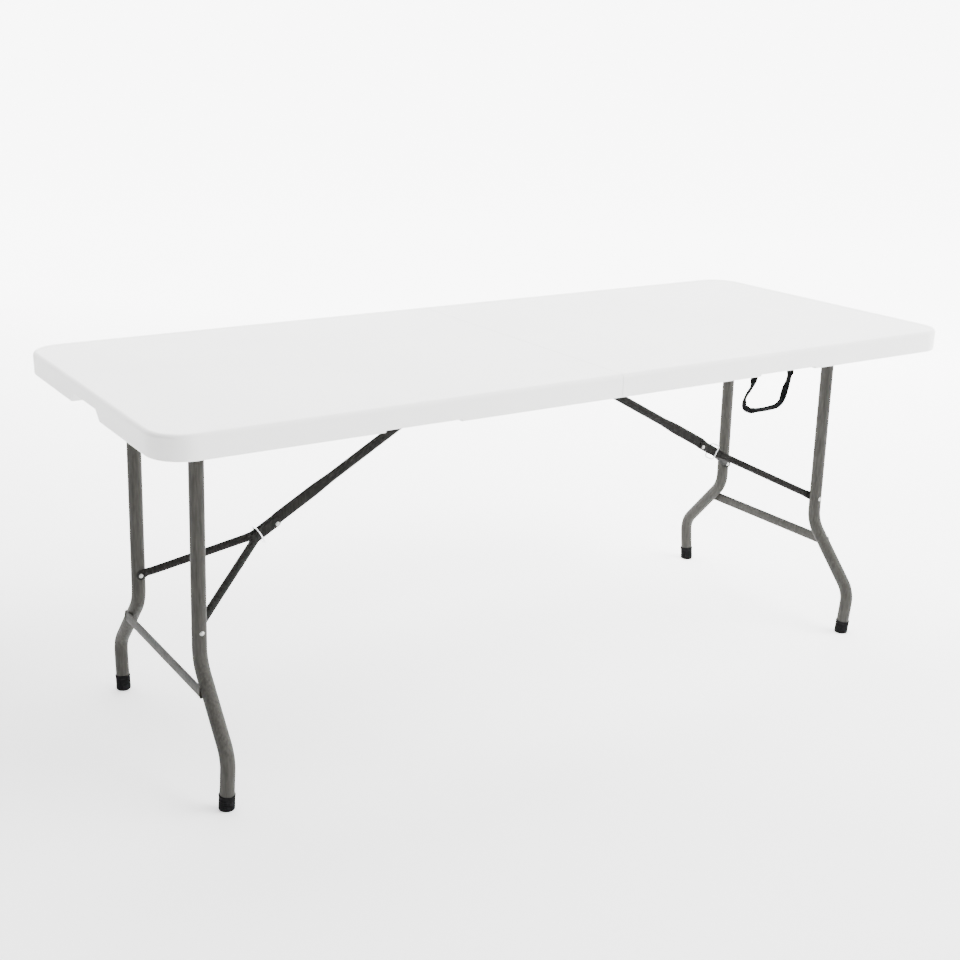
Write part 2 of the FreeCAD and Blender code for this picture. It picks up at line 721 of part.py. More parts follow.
def make_stop_rivet():
    """The second rivet, which ties the two cheeks together just past the blade's tip."""
    half = size("blade_thick") / 2 + size("cheek_gap") + size("cheek_thick")
    centre = on_brace(size("stop_rivet_at"), size("stop_rivet_up"))
    return solid("right_stop_rivet", Part.makeCylinder(size("stop_rivet_radius"), 2 * half,
                                                       centre - back * half, back))


def make_brace_rivets():
    """The lower arms' half of the leg rivets: a shank through the tab and a head inside it."""
    rivets = []
    tab_outer = size("leg_spread_top") - size("leg_radius") - size("tab_gap")
    for name, sign in (("front", -1), ("rear", 1)):
        start = brace_low + back * tab_outer * sign
        rivets.append(solid(f"brace_rivet_{name}", rivet_shape(
            start, back * -sign, size("cheek_thick"), size("rivet_radius"), size("rivet_head_radius"),
            size("rivet_head_height"))))
    return group("right_brace_rivets", *rivets)


def make_lock_ring():
    """A wire loop round the brace, a rounded rectangle square to the upper arm."""
    wire = size("ring_wire")
    half_width = size("ring_half_width") + wire
    top = size("pivot_drop") + size("blade_height") / 2 + size("ring_top_gap") + wire
    low = top - size("ring_inner_height") - 2 * wire
    corner = size("ring_corner") + wire
    at = size("ring_at")
    outline = [(0, top), (half_width, top), (half_width, low), (-half_width, low), (-half_width, top),
               (0, top)]
    points = [on_brace(at, up, across) for across, up in outline]
    return solid("right_lock_ring", swept(rounded_path(points, [corner] * 4), wire))


def make_anchor_rod():
    """The fixed cross rod near the centre that the upper arm's eye turns on."""
    end = f"{RAIL_INNER} + rail_wall + brace_rod_reach"
    return rod("right_brace_rod", "brace_rod_radius", "brace_top_x", BRACE_TOP_Z, (f"-({end})", end))


def make_rod_collars():
    """Two collars that keep the upper arm's eye at the middle of its rod."""
    collars = []
    for name, sign in (("front", -1), ("rear", 1)):
        near = "upper_eye_half + collar_gap"
        y = (near, f"{near} + collar_length") if sign > 0 else (f"-({near}) - collar_length", f"-({near})")
        ring = rod(f"collar_{name}_blank", "brace_rod_radius + collar_wall", "brace_top_x", BRACE_TOP_Z, y)
        bore = rod(f"collar_{name}_bore", "brace_rod_radius", "brace_top_x", BRACE_TOP_Z,
                   (f"{y[0]} - cut_margin", f"{y[1]} + cut_margin"))
        collars.append(cut(f"collar_{name}", ring, bore))
    return group("right_rod_collars", *collars)


# ---------------------------------------------------------------- carrying strap

# The strap's route: x along the table and height, in the upright plane just inside the front rail.
STRAP_ROUTE = [(385, 704), (386, 667), (362, 635), (371, 609), (417, 603), (463, 610), (473, 644),
               (484, 672), (486, 704)]
STRAP_BEND_SHARE = 0.45


def strap_points():
    y = -(half_width - size("strap_inset"))
    return [V(x, y, z) for x, z in STRAP_ROUTE]


def make_strap():
    points = strap_points()
    radii = []
    for before, corner, after in zip(points, points[1:], points[2:]):
        shorter = min((corner - before).Length, (after - corner).Length)
        half_turn = (math.pi - (before - corner).getAngle(after - corner)) / 2
        radii.append(STRAP_BEND_SHARE * shorter / math.tan(half_turn))
    path = rounded_path(points, radii)
    shape = swept(path, size("strap_radius"))
    print("strap length", round(path.Length, 1), "bend radii", [round(radius, 1) for radius in radii])
    print("strap volume over section times length",
          round(shape.Volume / (math.pi * size("strap_radius") ** 2 * path.Length), 4))
    return solid("carry_strap", shape)


def make_strap_anchors():
    """A folded steel clip on the front rail for each end of the strap."""
    anchors = []
    for number, end in enumerate((strap_points()[0], strap_points()[-1])):
        clip = doc.addObject("Part::Box", f"strap_anchor_{number}")
        bind(clip, "Length", "anchor_width")
        bind(clip, "Width", "anchor_depth")
        bind(clip, "Height", "anchor_height")
        bind(clip, "Placement.Base.x", f"{end.x} - anchor_width / 2")
        bind(clip, "Placement.Base.y", f"-({RAIL_INNER})")
        bind(clip, "Placement.Base.z", f"{RAIL_LOW} + anchor_up")
        anchors.append(clip)
    return group("strap_anchors", *anchors)


# ---------------------------------------------------------------- the assembly

def make_right_end():
    """Every piece of the right half, in the order it goes together."""
    pivot_tube = make_pivot_tube()
    doc.recompute()
    pivot_bar = Part.makeCylinder(size("pivot_tube_radius"), 2 * rail_inner, pivot - back * rail_inner, back)
    return [make_top(), make_rail("front"), make_rail("rear"), make_rail_screws(), make_anchor_rod(),
            make_rod_collars(), pivot_tube,
            make_leg("front", -1, pivot_bar), make_leg("rear", 1, pivot_bar), make_crossbar(),
            make_foot("front", -1), make_foot("rear", 1), make_leg_rivets(), make_upper_arm(),
            make_joint_rivet(), make_brace_arm("front", -1), make_brace_arm("rear", 1),
            make_stop_rivet(), make_brace_rivets(), make_lock_ring()]


right_end = make_right_end()
left_end = [mirrored(piece.Name.replace("right_", "left_"), piece) for piece in right_end]
centre = [hinge_plates("left_hinge_plates", 0, -1), hinge_plates("right_hinge_plates", 1, 1),
          make_hinge_pins()]
strap = [make_strap(), make_strap_anchors()]
doc.recompute()

for item in doc.Objects:
    if "Invalid" in item.State or "Error" in item.State:
        raise RuntimeError(f"{item.Name}: {item.State}")

os.makedirs("parts", exist_ok=True)
for piece in right_end + left_end + centre + strap:
    piece.Label = piece.Name
    shape = piece.Shape
    if shape.isNull() or not shape.isValid() or not shape.Solids:
        raise RuntimeError(f"{piece.Name}: bad shape")
    shape.exportStep(f"parts/{piece.Name}.step")
    print(piece.Name, len(shape.Solids), round(shape.Volume / 1000, 2), "cm3")

print("joint", joint, "upper", round(upper_length, 2), "lower", round((joint - brace_low).Length, 2))
print("leg pivot", pivot, "brace top", brace_top, "brace low", brace_low)
print("upper arm axis slope", round(math.degrees(slope - drop_angle), 3), "along", along)
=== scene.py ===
import json
import math

import bmesh
import bpy
from mathutils import Matrix, Vector
from mathutils.bvhtree import BVHTree


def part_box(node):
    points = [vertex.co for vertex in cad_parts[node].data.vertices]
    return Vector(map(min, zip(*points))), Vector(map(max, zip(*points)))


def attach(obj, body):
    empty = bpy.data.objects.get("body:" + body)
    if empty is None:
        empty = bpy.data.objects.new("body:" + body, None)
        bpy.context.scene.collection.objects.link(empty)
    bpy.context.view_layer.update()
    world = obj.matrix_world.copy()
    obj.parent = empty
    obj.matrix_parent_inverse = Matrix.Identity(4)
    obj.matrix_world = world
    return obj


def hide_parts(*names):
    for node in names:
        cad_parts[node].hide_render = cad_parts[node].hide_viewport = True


# The looks of the folding table. Metres, in the CAD frame: +X along the table, +Y to the back.
# Pieces that stand at both ends are built for the right end, and mirrored for the left one.

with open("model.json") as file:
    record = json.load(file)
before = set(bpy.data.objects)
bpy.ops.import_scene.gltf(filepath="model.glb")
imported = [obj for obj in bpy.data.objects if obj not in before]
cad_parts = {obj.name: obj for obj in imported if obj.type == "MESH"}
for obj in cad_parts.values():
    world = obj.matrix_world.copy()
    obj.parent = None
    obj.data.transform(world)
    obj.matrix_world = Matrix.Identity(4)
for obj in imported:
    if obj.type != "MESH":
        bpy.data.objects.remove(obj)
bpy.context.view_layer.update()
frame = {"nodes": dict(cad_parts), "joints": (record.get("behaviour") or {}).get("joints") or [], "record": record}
joints = {joint["name"]: joint for joint in frame["joints"]}
BACK = Vector((0, 1, 0))
SIDES = (("front", -1), ("rear", 1))


# ---------------------------------------------------------------- camera

CAMERA_PLACE = (-1.6142, -2.3357, 1.3462)
CAMERA_YAW, CAMERA_PITCH, CAMERA_ROLL = 0.5617, 0.3367, 0.0193
CAMERA_LENS = 51.51
CAMERA_SHIFT = (0.0299, 0.0316)


def make_camera():
    """The camera that the photo was taken with, as fitted to the table's outline."""
    sin_yaw, cos_yaw = math.sin(CAMERA_YAW), math.cos(CAMERA_YAW)
    sin_roll, cos_roll = math.sin(CAMERA_ROLL), math.cos(CAMERA_ROLL)
    cos_pitch = math.cos(CAMERA_PITCH)
    ahead = Vector((sin_yaw * cos_pitch, cos_yaw * cos_pitch, -math.sin(CAMERA_PITCH)))
    level = Vector((cos_yaw, -sin_yaw, 0))
    upward = level.cross(ahead)
    right = cos_roll * level + sin_roll * upward
    top = cos_roll * upward - sin_roll * level
    data = bpy.data.cameras.new("camera")
    data.lens = CAMERA_LENS
    data.shift_x, data.shift_y = CAMERA_SHIFT
    camera = bpy.data.objects.new("camera", data)
    bpy.context.scene.collection.objects.link(camera)
    turn = Matrix((right, top, -ahead)).transposed().to_4x4()
    camera.matrix_world = Matrix.Translation(CAMERA_PLACE) @ turn
    bpy.context.scene.camera = camera


# ---------------------------------------------------------------- lines

CURVE_STEPS = 24
CURVE_ORDER = 3


def smooth_line(points, name):
    """The points of a smooth NURBS curve whose control points are given."""
    curve = bpy.data.curves.new(name, "CURVE")
    curve.dimensions = "3D"
    curve.resolution_u = CURVE_STEPS
    spline = curve.splines.new("NURBS")
    spline.points.add(len(points) - 1)
    for knot, place in zip(spline.points, points):
        knot.co = (*place, 1)
    spline.order_u = CURVE_ORDER
    spline.use_endpoint_u = True
    holder = bpy.data.objects.new(name, curve)
    mesh = bpy.data.meshes.new_from_object(holder)
    line = [vertex.co.copy() for vertex in mesh.vertices]
    bpy.data.objects.remove(holder)
    return line


def blend_keys(keys, at):
    """A smooth value between the (place, value) keys."""
    for (low, a), (high, b) in zip(keys, keys[1:]):
        if at <= high:
            share = max(0.0, (at - low) / (high - low))
            share = share * share * (3 - 2 * share)
            return a + (b - a) * share
    return keys[-1][1]


def shares(line):
    """How far along the line each point is, from 0 to 1, and the line's length."""
    run = [0.0]
    for a, b in zip(line, line[1:]):
        run.append(run[-1] + (b - a).length)
    return [at / run[-1] for at in run], run[-1]


def tangents(line, closed=False):
    """The line's direction at each point."""
    if closed:
        around = [line[-1], *line, line[0]]
    else:
        around = [line[0] - (line[1] - line[0]), *line, line[-1] + (line[-1] - line[-2])]
    return [(b - a).normalized() for a, b in zip(around, around[2:])]


# ---------------------------------------------------------------- mesh builders

BAR_COUNT = 32


def ring_of(centre, side, up, half_side, half_up, squareness=1.0, count=24):
    """A closed ring: an ellipse, or a rounded rectangle as squareness falls below 1."""
    points = []
    for step in range(count):
        angle = 2 * math.pi * step / count
        c, s = math.cos(angle), math.sin(angle)
        across = math.copysign(abs(c) ** squareness, c) * half_side
        high = math.copysign(abs(s) ** squareness, s) * half_up
        points.append(centre + side * across + up * high)
    return points


def make_object(name, vertices, faces, sharp=40):
    """An object with its faces turned outward, smooth but for edges of more than sharp degrees."""
    mesh = bpy.data.meshes.new(name)
    mesh.from_pydata([tuple(v) for v in vertices], [], faces)
    mesh.validate()
    edit = bmesh.new()
    edit.from_mesh(mesh)
    bmesh.ops.recalc_face_normals(edit, faces=edit.faces)
    edit.to_mesh(mesh)
    edit.free()
    mesh.shade_smooth()
    mesh.set_sharp_from_angle(angle=math.radians(sharp))
    piece = bpy.data.objects.new(name, mesh)
    bpy.context.scene.collection.objects.link(piece)
    return piece


def skin(rings, closed=False, capped=True):
    """Vertices and faces of a skin over rings of equal count."""
    count = len(rings[0])
    vertices = [point for ring in rings for point in ring]
    faces = []
    for number in range(len(rings) if closed else len(rings) - 1):
        following = (number + 1) % len(rings)
        for step in range(count):
            after = (step + 1) % count
            faces.append((number * count + step, number * count + after,
                          following * count + after, following * count + step))
    if capped and not closed:
        faces.append(tuple(range(count)))
        faces.append(tuple(range((len(rings) - 1) * count, len(rings) * count)))
    return vertices, faces


def joined(*meshes):
    """Several (vertices, faces) as one."""
    vertices, faces = [], []
    for more_vertices, more_faces in meshes:
        offset = len(vertices)
        vertices += more_vertices
        faces += [tuple(index + offset for index in face) for face in more_faces]
    return vertices, faces


def loop_pipe(line, radius, count):
    """A round bar along a closed line, with a frame carried along it so that it doesn't twist."""
    heads = tangents(line, closed=True)
    side = heads[0].orthogonal().normalized()
    rings = []
    for place, head in zip(line, heads):
        side = (side - head * side.dot(head)).normalized()
        rings.append(ring_of(place, side, head.cross(side), radius, radius, count=count))
    return skin(rings, closed=True)


def turned(profile, base, axis, closed=False, count=32):
    """A piece turned about an axis; profile is (distance along it, radius) from end to end."""
    side = axis.orthogonal().normalized()
    up = axis.cross(side)
    return skin([ring_of(base + axis * ahead, side, up, radius, radius, count=count)
                 for ahead, radius in profile], closed)


def section_bar(line, upright, section):
    """A bar whose section changes along the line; section(distance, length) gives half height,
    half thickness, squareness and how far the section is shifted down."""
    share, length = shares(line)
    rings = []
    for place, head, at in zip(line, tangents(line), share):
        up = (upright - head * upright.dot(head)).normalized()
        half_high, half_thick, squareness, lowered = section(at * length, length)
        rings.append(ring_of(place - up * lowered, head.cross(up), up, half_thick, half_high,
                             squareness, BAR_COUNT))
    return skin(rings)


def mirror(piece):
    piece.data.transform(Matrix.Scale(-1, 4, (1, 0, 0)))
    piece.data.flip_normals()


def at_both_ends(name, build, body, finish, replaced=()):
    """Builds a piece for each end of the table, on that end's body, with that material."""
    for end in ("right", "left"):
        piece = make_object(f"{end}_{name}", *build())
        if end == "left":
            mirror(piece)
        piece.data.materials.append(MATERIALS[finish])
        if replaced:
            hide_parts(*[f"{end}_{node}" for node in replaced])
        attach(piece, f"{end}_{body}")


# ---------------------------------------------------------------- materials

class Graph:
    """A node material being built."""

    # Noise stays near its middle, so this part of its 0 to 1 is stretched over the whole range.
    NOISE_LOW, NOISE_HIGH = 0.3, 0.7

    def __init__(self, name):
        self.material = bpy.data.materials.new(name)
        self.material.use_nodes = True
        self.tree = self.material.node_tree
        self.shader = self.tree.nodes["Principled BSDF"]

    def put(self, socket, value):
        """Links a socket's value, or sets it."""
        if isinstance(value, bpy.types.NodeSocket):
            self.tree.links.new(value, socket)
        else:
            socket.default_value = value

    def add(self, kind, inputs=(), **settings):
        """A node with its settings, and its inputs by name or number."""
        node = self.tree.nodes.new(kind)
        for key, value in settings.items():
            setattr(node, key, value)
        for key, value in dict(inputs).items():
            self.put(node.inputs[key], value)
        return node

    def surface(self, **values):
        """Sets the shader's own sockets."""
        for key, value in values.items():
            self.put(self.shader.inputs[key.replace("_", " ")], value)

    def place(self):
        return self.add("ShaderNodeTexCoord").outputs["Object"]

    def stretched(self, scale):
        return self.add("ShaderNodeMapping", {"Vector": self.place(), "Scale": scale}).outputs[0]

    def noise(self, vector, scale, detail=3.0, roughness=0.5):
        return self.add("ShaderNodeTexNoise", {"Vector": vector, "Scale": scale, "Detail": detail,
                                               "Roughness": roughness}).outputs["Fac"]

    def ranged(self, value, low, high, to_low, to_high):
        return self.add("ShaderNodeMapRange", {"Value": value, "From Min": low, "From Max": high,
                                               "To Min": to_low, "To Max": to_high}).outputs[0]

    def between(self, factor, low, high):
        """Maps the middle of a 0 to 1 factor to the range low to high."""
        return self.ranged(factor, self.NOISE_LOW, self.NOISE_HIGH, low, high)

    def colours(self, factor, first, second):
        """A colour from first to second over the middle of a 0 to 1 factor."""
        ramp = self.add("ShaderNodeValToRGB", {"Fac": factor})
        for stop, position, colour in zip(ramp.color_ramp.elements,
                                          (self.NOISE_LOW, self.NOISE_HIGH), (first, second)):
            stop.position = position
            stop.color = (*colour, 1)
        return ramp.outputs[0]

    def bump(self, height, strength, distance, after=None):
        inputs = {"Height": height, "Strength": strength, "Distance": distance}
        if after is not None:
            inputs["Normal"] = after
        return self.add("ShaderNodeBump", inputs).outputs[0]

    def math(self, operation, *values):
        return self.add("ShaderNodeMath", dict(enumerate(values)), operation=operation).outputs[0]

    def weave(self, vector, scale, distortion, direction):
        return self.add("ShaderNodeTexWave",
                        {"Vector": vector, "Scale": scale, "Distortion": distortion, "Detail": 1.0},
                        bands_direction=direction).outputs["Fac"]


def plastic():
    """Blow-moulded polyethylene with a pebbled skin that waves a little."""
    g = Graph("white_plastic")
    place = g.place()
    cloud = g.noise(place, scale=3.0)
    grain = g.add("ShaderNodeTexVoronoi", {"Vector": place, "Scale": 620.0}, feature="SMOOTH_F1")
    pebbles = g.bump(grain.outputs["Distance"], strength=0.16, distance=0.0004)
    swell = g.noise(place, scale=9.0, detail=1.0)
    g.surface(Base_Color=g.colours(cloud, (0.80, 0.80, 0.79), (0.84, 0.84, 0.83)),
              Roughness=g.between(g.noise(place, scale=40.0), 0.36, 0.44),
              Normal=g.bump(swell, strength=0.10, distance=0.002, after=pebbles),
              Specular_IOR_Level=0.25)
    return g.material


def powder_coat(name, dark, light, roughness, gloss):
    """Powder coat on drawn tube: an orange-peel surface with faint streaks down the tube."""
    g = Graph(name)
    smoother, rougher = roughness - 0.05, roughness + 0.07
    streaks = g.noise(g.stretched((260.0, 260.0, 22.0)), scale=1.0, detail=4.0, roughness=0.6)
    peel = g.noise(g.place(), scale=420.0, detail=2.0)
    g.surface(Base_Color=g.colours(streaks, dark, light),
              Roughness=g.between(g.noise(g.place(), scale=60.0), smoother, rougher),
              Specular_IOR_Level=gloss,
              Normal=g.bump(peel, strength=0.25, distance=0.0004))
    return g.material


def chrome():
    """Bright chromed wire, a little smeared."""
    g = Graph("chrome_wire")
    smears = g.noise(g.place(), scale=90.0)
    g.surface(Base_Color=g.colours(smears, (0.74, 0.75, 0.77), (0.84, 0.85, 0.86)), Metallic=1.0,
              Roughness=g.between(smears, 0.08, 0.20))
    return g.material


def zinc():
    """Zinc plate with fine marks along a rivet's axis."""
    g = Graph("zinc")
    marks = g.noise(g.stretched((700.0, 120.0, 700.0)), scale=1.0, detail=4.0)
    g.surface(Base_Color=g.colours(marks, (0.28, 0.28, 0.27), (0.46, 0.46, 0.44)), Metallic=1.0,
              Roughness=g.between(marks, 0.26, 0.42),
              Normal=g.bump(marks, strength=0.1, distance=0.0002))
    return g.material


def rubber():
    """Black moulded rubber with scuffs."""
    g = Graph("black_rubber")
    scuffs = g.noise(g.place(), scale=130.0, detail=5.0)
    grain = g.noise(g.place(), scale=900.0)
    g.surface(Base_Color=g.colours(scuffs, (0.0040, 0.0040, 0.0042), (0.0090, 0.0090, 0.0094)),
              Roughness=g.between(scuffs, 0.60, 0.80), Specular_IOR_Level=0.02,
              Normal=g.bump(grain, strength=0.2, distance=0.0003))
    return g.material


def webbing():
    """Woven nylon: ribs across the webbing, from its own lengthwise coordinates."""
    g = Graph("black_webbing")
    along = g.add("ShaderNodeUVMap", uv_map="weave").outputs[0]
    ribs = g.weave(along, scale=110.0, distortion=0.6, direction="X")
    ends = g.weave(along, scale=150.0, distortion=0.4, direction="Y")
    woven = g.math("MULTIPLY", ribs, ends)
    g.surface(Base_Color=g.colours(woven, (0.0010, 0.0010, 0.0010), (0.0040, 0.0040, 0.0044)),
              Roughness=0.8, Specular_IOR_Level=0.03,
              Normal=g.bump(woven, strength=0.6, distance=0.0004))
    return g.material


MATERIALS = {
    "white_plastic": plastic(),
    "grey_steel": powder_coat("grey_steel", dark=(0.029, 0.0282, 0.0257),
                              light=(0.050, 0.0487, 0.0444), roughness=0.48, gloss=0.05),
    "dark_steel": powder_coat("dark_steel", dark=(0.0095, 0.0095, 0.0090),
                              light=(0.0230, 0.0225, 0.0212), roughness=0.58, gloss=0.008),
    "chrome_wire": chrome(),
    "zinc": zinc(),
    "black_rubber": rubber(),
    "black_webbing": webbing(),
}


def dress_cad():
    """Every CAD node takes the material of its slot in the record."""
    for part in frame["record"]["subparts"]:
        data = frame["nodes"][part["node"]].data
        data.materials.clear()
        data.materials.append(MATERIALS[part["material_slot"]])


# ---------------------------------------------------------------- carrying strap

STRAP_INSET = 0.324
STRAP_ROUTE = [(0.385, 0.704), (0.386, 0.667), (0.358, 0.638), (0.366, 0.613), (0.417, 0.6075),
               (0.467, 0.612), (0.475, 0.646), (0.486, 0.672), (0.486, 0.704)]
STRAP_WIDTH = 0.020
STRAP_THICK = 0.0018
STRAP_SQUARENESS = 0.45
STRAP_SHARP = 70
# How the webbing twists: (share of its length, degrees from lying in the route's plane).
STRAP_TWIST = [(0.0, 0), (0.09, -2), (0.17, -30), (0.24, -31), (0.30, -20), (0.36, -48),
               (0.42, -77), (0.48, -84), (0.55, -86), (0.61, -86), (0.66, -97), (0.70, -103),
               (0.76, -95), (0.80, -97), (0.85, -109), (0.885, -111), (0.925, -92),
               (0.98, -138), (1.0, -140)]


def make_strap():
    """Flat webbing that twists along the route."""
    line = smooth_line([Vector((x, -STRAP_INSET, z)) for x, z in STRAP_ROUTE], "strap_line")
    share, length = shares(line)
    rings = []
    for place, head, at in zip(line, tangents(line), share):
        twist = math.radians(blend_keys(STRAP_TWIST, at))
        upright = head.cross(BACK).normalized() * -1
        wide = upright * math.cos(twist) + BACK * math.sin(twist)
        rings.append(ring_of(place, wide, head.cross(wide), STRAP_WIDTH / 2, STRAP_THICK / 2,
                             STRAP_SQUARENESS))
    strap = make_object("strap", *skin(rings), sharp=STRAP_SHARP)
    count = len(rings[0])
    uv = strap.data.uv_layers.new(name="weave")
    for loop in strap.data.loops:
        ring, step = divmod(loop.vertex_index, count)
        across = 0.5 * STRAP_WIDTH * (1 + math.cos(2 * math.pi * step / count))
        uv.data[loop.index].uv = (share[ring] * length, across)
    strap.data.materials.append(MATERIALS["black_webbing"])
    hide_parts("carry_strap")
    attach(strap, "right_half")


# ---------------------------------------------------------------- braces

PANEL_JOINT = Vector(joints["right_upper_brace_turn"]["pos_m"])
KNUCKLE = Vector(joints["right_brace_knuckle"]["pos_m"])
ALONG = Vector(joints["right_ring_slide"]["axis"]) * -1
ABOVE = Vector((-ALONG.z, 0, ALONG.x))
LEG_RIVET = sum(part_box("right_brace_rivets"), Vector()) / 2
TAB_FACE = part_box("right_brace_rear_arm")[1].y
PIVOT_DROP = 0.0065
NOSE_LEAST = 0.0004


def round_nose(distance, radius):
    """Half the height of a bar's rounded end, at a distance from its tip."""
    if distance >= radius:
        return radius
    return max(NOSE_LEAST, math.sqrt(radius ** 2 - (radius - distance) ** 2))


def upper_arm():
    """Round tube, flattened to a blade at the joint, and a sleeve that turns on the rod."""
    round_radius, blade_high, blade_thick = 0.0095, 0.012, 0.005
    blade_tip, blade_start, taper, blade_squaring = 0.046, 0.092, 0.060, 0.42
    slant_start, slant = 0.006, 0.009
    tip_rounding, tip_high_share = 0.002, 0.85
    sleeve_half, sleeve_radius, sleeve_bore, bevel = 0.022, 0.0095, 0.00605, 0.0007
    axis_back = math.sqrt((KNUCKLE - PANEL_JOINT).length ** 2 - PIVOT_DROP ** 2)
    start = KNUCKLE + ABOVE * PIVOT_DROP - ALONG * axis_back
    length = axis_back + blade_tip
    steps = 150
    line = [start + ALONG * (length * step / steps) for step in range(steps + 1)]

    def section(distance, length):
        ahead = distance - axis_back
        flat = blend_keys([(-blade_start - taper, 0.0), (-blade_start, 1.0)], ahead)
        lowered = slant * max(0.0, (ahead + slant_start) / (blade_tip + slant_start)) / 2
        high = round_radius + (blade_high - round_radius) * flat - lowered
        thick = round_radius + (blade_thick - round_radius) * flat
        rounding = round_nose(length - distance, tip_rounding) / tip_rounding
        high *= tip_high_share + (1 - tip_high_share) * rounding
        return high, thick * rounding, 1 - blade_squaring * flat, lowered

    profile = [(-sleeve_half, sleeve_radius - bevel), (-sleeve_half + bevel, sleeve_radius),
               (sleeve_half - bevel, sleeve_radius), (sleeve_half, sleeve_radius - bevel),
               (sleeve_half, sleeve_bore), (-sleeve_half, sleeve_bore)]
    sleeve = turned(profile, PANEL_JOINT, BACK, closed=True)
    return joined(section_bar(line, ABOVE, section), sleeve)


def lower_arm(sign):
    """Flattened at both ends, for the joint and for the leg, and round between them."""
    round_radius, flat_thick, flat_squareness = 0.0079, 0.0015, 0.45
    cheek_middle, cheek_high, cheek_at = 0.0042, 0.0102, 0.0069
    cheek_bend, cheek_end, cheek_taper_end = 0.030, 0.050, 0.086
    fork_ahead, fork_out = 0.060, 0.0145
    leg_back, leg_out = 0.024, 0.1345
    tab_high, tab_bend, tab_start = 0.009, 0.008, 0.013
    tab_end, tab_taper_end = 0.018, 0.032
    cheek_place = BACK * (cheek_at * sign)
    tab_place = BACK * ((TAB_FACE - flat_thick) * sign)
    inboard = KNUCKLE - LEG_RIVET
    inboard.y = 0
    inboard.normalize()
    rivet = Vector((LEG_RIVET.x, 0, LEG_RIVET.z))
    first = KNUCKLE + ABOVE * cheek_middle
    fork = first + ALONG * fork_ahead + BACK * (fork_out * sign)
    near_leg = rivet + inboard * leg_back + BACK * (leg_out * sign)
    line = smooth_line([first - ALONG * cheek_high + cheek_place,
                        first + ALONG * cheek_bend + cheek_place,
                        first + ALONG * cheek_end + cheek_place,
                        fork, fork.lerp(near_leg, 0.5), near_leg,
                        rivet + inboard * tab_start + tab_place,
                        rivet + inboard * tab_bend + tab_place,
                        rivet - inboard * tab_high + tab_place], "arm_line")

    def section(distance, length):
        left = length - distance
        full = blend_keys([(cheek_end, 0.0), (cheek_taper_end, 1.0)], distance) * \
            blend_keys([(tab_end, 0.0), (tab_taper_end, 1.0)], left)
        flat_high = cheek_high if distance < length / 2 else tab_high
        high = flat_high + (round_radius - flat_high) * full
        thick = flat_thick + (round_radius - flat_thick) * full
        nose = min(round_nose(distance, cheek_high) / cheek_high,
                   round_nose(left, tab_high) / tab_high)
        return high * nose, thick, flat_squareness + (1 - flat_squareness) * full, 0.0

    return section_bar(line, ABOVE, section)


def make_braces():
    at_both_ends("upper_arm_formed", upper_arm, "upper_brace", "dark_steel", ["upper_arm"])
    for side, sign in SIDES:
        at_both_ends(f"{side}_arm_formed", lambda: lower_arm(sign), "lower_brace", "dark_steel",
                     [f"brace_{side}_arm"])


# ---------------------------------------------------------------- leg details

LEG_PIVOT = Vector(joints["right_leg_fold"]["pos_m"])
LEAN = math.radians(1.5)
LEG_DOWN = Vector((math.sin(LEAN), 0, -math.cos(LEAN)))
LEG_OUTWARD = Vector((math.cos(LEAN), 0, math.sin(LEAN)))
LEG_RADIUS = 0.014
KNEE_DOWN, KNEE_OUT = 0.602, 0.288
SOLE_THICK, SOLE_OUT = 0.004, 0.279
CROSSBAR_DOWN, CROSSBAR_OUTWARD = 0.507, 0.014


def foot(sign):
    """A moulded ferrule: a thick sole, shallow grip rings and a rolled lip, flat on the floor."""
    wall, tube_gap, foot_points = 0.0012, 0.0001, 48
    groove_first, groove_pitch, grooves, groove_depth = 0.006, 0.0042, 4, 0.0006
    groove_floor, groove_back, groove_end = 0.0006, 0.0014, 0.0020
    knee = LEG_PIVOT + LEG_DOWN * KNEE_DOWN + BACK * KNEE_OUT * sign
    sole_down = (LEG_PIVOT.z - SOLE_THICK) / math.cos(LEAN)
    sole = LEG_PIVOT + LEG_DOWN * sole_down + BACK * SOLE_OUT * sign
    axis = (knee - sole).normalized()
    outer = LEG_RADIUS + wall
    inner = LEG_RADIUS + tube_gap
    profile = [(-0.0075, 0.004), (-0.0070, outer - wall), (-0.002, outer), (0.004, outer)]
    for groove in range(grooves):
        at = groove_first + groove * groove_pitch
        profile += [(at, outer), (at + groove_floor, outer - groove_depth),
                    (at + groove_back, outer - groove_depth), (at + groove_end, outer)]
    lip = [(0.0245, outer), (0.0252, outer + 0.0005), (0.0264, outer + 0.0006), (0.0276, outer),
           (0.0280, outer - 0.0006)]
    profile += lip + [(0.0280, inner), (0.012, inner)]
    vertices, faces = turned(profile, sole, axis, count=foot_points)
    return [Vector((v.x, v.y, max(v.z, 0.0))) for v in vertices], faces


